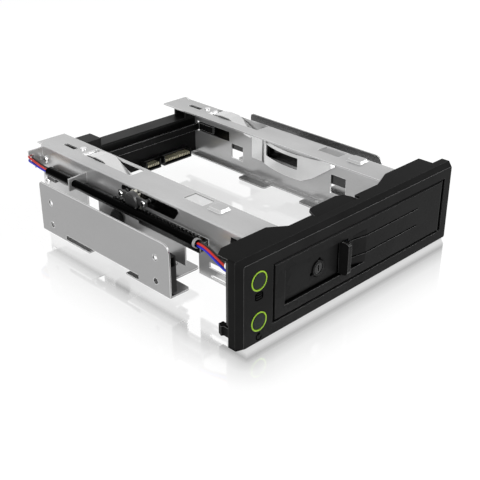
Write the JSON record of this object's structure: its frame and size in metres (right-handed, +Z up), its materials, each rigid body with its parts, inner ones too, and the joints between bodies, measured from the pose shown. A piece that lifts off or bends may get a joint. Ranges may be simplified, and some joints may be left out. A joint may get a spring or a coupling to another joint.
{
  "type": "hot swap drive cage",
  "caption": "Low sheet-steel cage that a bare disk drive slides into behind a hinged, latching and lockable front door, with an ejector that the door works and a socket wall.",
  "frame": {"origin": "centre of the overall box at its lowest plane, under the middle of the cage", "axes": "+X to the right seen from the front, +Y to the back along the way the drive goes in, +Z up"},
  "size_m": [0.149, 0.1748, 0.042],
  "materials": {
    "bezel_plastic": "satin moulded",
    "door_plastic": "satin moulded",
    "latch_plastic": "fine matte",
    "button_plastic": "polished",
    "lens_plastic": "polished, tinted",
    "ring_plastic": "clear green, polished",
    "sheet_steel": "zinc-plated satin",
    "spring_steel": "bright rolled",
    "dark_steel": "dark satin coat",
    "wall_steel": "black satin coat",
    "bright_steel": "bright turned",
    "lock_metal": "polished",
    "board_laminate": "green solder mask",
    "socket_plastic": "fine matte",
    "plug_plastic": "natural nylon",
    "contact_metal": "gold flash",
    "rubber_black": "matte",
    "damper_plastic": "light grey",
    "gear_plastic": "natural acetal",
    "sleeve_braid": "fine black braid",
    "wire_black": "soft insulation",
    "wire_red": "soft insulation",
    "wire_yellow": "soft insulation",
    "wire_blue": "soft insulation",
    "led_plastic": "clear green"
  },
  "bodies": {
    "cage": {"front_bezel": "bezel_plastic", "hinge_pins": "bright_steel", "light_rings": "ring_plastic", "activity_lens": "lens_plastic", "front_board": "board_laminate", "reset_switch": "socket_plastic", "activity_led": "led_plastic", "front_plug": "plug_plastic", "left_side_frame": "sheet_steel", "right_side_frame": "sheet_steel", "left_leaf_spring": "spring_steel", "right_leaf_spring": "spring_steel", "spring_rivets": "bright_steel", "shelf_rivets": "bright_steel", "side_bow_spring": "spring_steel", "side_bumper": "rubber_black", "left_mount_bracket": "sheet_steel", "right_mount_bracket": "sheet_steel", "bracket_pads": "rubber_black", "rear_bulkhead": "wall_steel", "backplane_board": "board_laminate", "drive_socket": "socket_plastic", "socket_contacts": "contact_metal", "rear_data_plug": "socket_plastic", "rear_power_plug": "plug_plastic", "wire_header": "plug_plastic", "left_slide_channel": "sheet_steel", "damper_bracket": "dark_steel", "damper_housing": "damper_plastic", "damper_screws": "bright_steel", "bulkhead_screws": "bright_steel", "bezel_screws": "bright_steel", "board_screws": "bright_steel", "loom_sleeve": "sleeve_braid", "sleeve_clip": "plug_plastic", "wire_black": "wire_black", "wire_red": "wire_red", "wire_yellow": "wire_yellow", "wire_blue": "wire_blue"},
    "door": {"door_panel": "door_plastic", "door_pads": "rubber_black", "lock_barrel": "lock_metal"},
    "latch": {"latch_handle": "latch_plastic", "latch_bolt": "spring_steel"},
    "lock": {"lock_cylinder": "lock_metal", "lock_cam": "bright_steel"},
    "button": {"reset_button": "button_plastic"},
    "ejector": {"rack_bar": "dark_steel", "ejector_cross_bar": "spring_steel", "slide_plate": "dark_steel"},
    "pinion": {"damper_pinion": "gear_plastic"}
  },
  "joints": [
    {"name": "door_hinge", "type": "hinge", "parent": "cage", "child": "door", "pos_m": [0.0647, -0.08145, 0.021], "axis": [0, 0, 1], "range_deg": [0, 95]},
    {"name": "ejector_slide", "type": "slide", "parent": "cage", "child": "ejector", "axis": [0, -1, 0], "range_m": [0, 0.0127]},
    {"name": "pinion_spin", "type": "hinge", "parent": "cage", "child": "pinion", "pos_m": [-0.0555, 0.00445, 0.0354], "axis": [1, 0, 0], "range_deg": [-182, 0]},
    {"name": "latch_slide", "type": "slide", "parent": "door", "child": "latch", "axis": [1, 0, 0], "range_m": [0, 0.004], "stiffness_N_per_m": 120, "springref_m": -0.001},
    {"name": "lock_turn", "type": "hinge", "parent": "door", "child": "lock", "pos_m": [-0.0252, -0.08055, 0.021], "axis": [0, -1, 0], "range_deg": [0, 90]},
    {"name": "reset_press", "type": "slide", "parent": "cage", "child": "button", "axis": [0, 1, 0], "range_m": [0, 0.001], "stiffness_N_per_m": 250, "springref_m": -0.0003}
  ],
  "couplings": [
    {"joint": "ejector_slide", "follows": "door_hinge", "m_per_rad": 0.0076487},
    {"joint": "pinion_spin", "follows": "door_hinge", "ratio": -1.9122}
  ]
}
